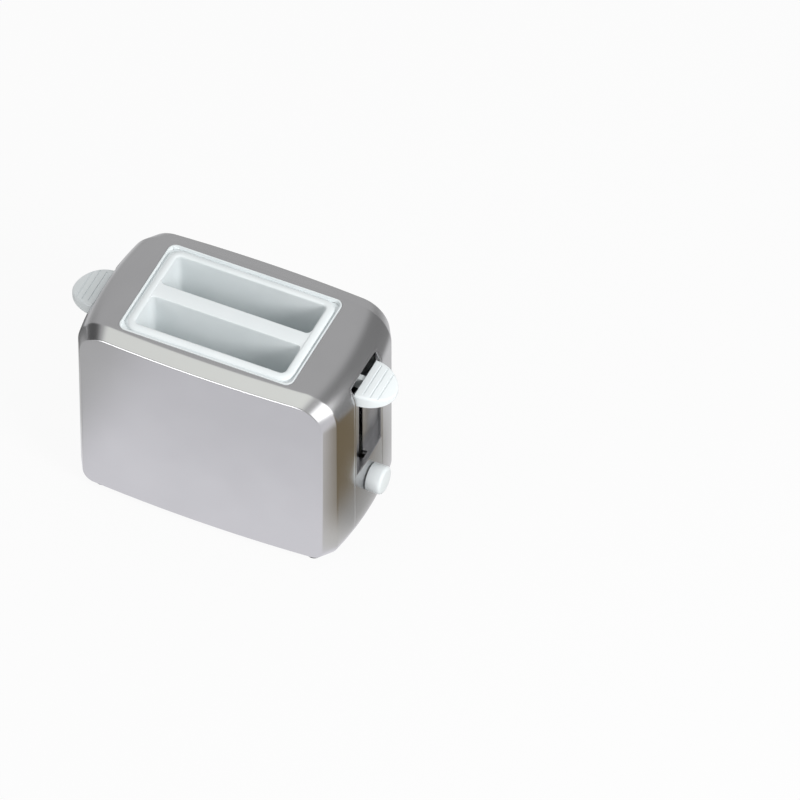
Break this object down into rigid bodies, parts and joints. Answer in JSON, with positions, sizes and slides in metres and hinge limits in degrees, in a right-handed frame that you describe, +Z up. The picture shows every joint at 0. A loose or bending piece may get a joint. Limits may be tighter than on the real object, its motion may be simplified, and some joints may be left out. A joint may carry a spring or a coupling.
{
  "type": "toy toaster",
  "caption": "Toy toaster with a rounded moulded housing, raised toast slots, a sprung lift with a press lever at each end, and a timer knob.",
  "frame": {"origin": "on the surface that the feet stand on, under the middle of the housing", "axes": "+Z up; +X along the toast slots, towards the end with the timer knob; +Y from the front face to the back face"},
  "size_m": [0.1934, 0.0926, 0.1266],
  "materials": {
    "silver_plastic": "satin metallic silver moulding",
    "white_plastic": "glossy cool white moulding",
    "base_plastic": "fine matt grey moulding",
    "mechanism_plastic": "natural white bearing plastic",
    "dark_rubber": "matt dark rubber",
    "bright_steel": "bright drawn steel wire and rod",
    "screw_steel": "zinc plated steel"
  },
  "bodies": {
    "housing": {"body_shell": "silver_plastic", "lever_panel_right": "silver_plastic", "lever_panel_left": "silver_plastic", "slot_tray": "white_plastic", "base_plate": "base_plastic", "timer_bracket": "mechanism_plastic", "rubber_feet": "dark_rubber", "stop_bumper_right": "dark_rubber", "stop_bumper_left": "dark_rubber", "guide_rod_right": "bright_steel", "guide_rod_left": "bright_steel", "lift_spring_right": "bright_steel", "lift_spring_left": "bright_steel", "latch_spring": "bright_steel", "latch_pin": "bright_steel", "base_screws": "screw_steel", "bracket_screws": "screw_steel"},
    "lift": {"lift_yoke_right": "white_plastic", "lift_yoke_left": "white_plastic", "lever_ear_right": "white_plastic", "lever_ear_left": "white_plastic", "ear_screws": "screw_steel", "bread_shelf_front": "white_plastic", "bread_shelf_back": "white_plastic", "shelf_screws": "screw_steel"},
    "knob": {"timer_knob": "white_plastic", "knob_shaft": "bright_steel", "release_cam": "mechanism_plastic", "shaft_clip": "bright_steel"},
    "latch": {"latch_hook": "mechanism_plastic"}
  },
  "joints": [
    {"name": "lift_slide", "type": "slide", "parent": "housing", "child": "lift", "axis": [0, 0, -1], "range_m": [0, 0.05], "stiffness_N_per_m": 60, "springref_m": -0.02, "deforming": ["lift_spring_right", "lift_spring_left"]},
    {"name": "knob_turn", "type": "hinge", "parent": "housing", "child": "knob", "pos_m": [0.0859, 0, 0.035], "axis": [1, 0, 0], "range_deg": [0, 90]},
    {"name": "latch_swing", "type": "hinge", "parent": "housing", "child": "latch", "pos_m": [0.062, 0.016, 0.043], "axis": [1, 0, 0], "range_deg": [0, 15.5]}
  ],
  "couplings": [
    {"joint": "latch_swing", "follows": "knob_turn", "ratio": 0.16667}
  ]
}
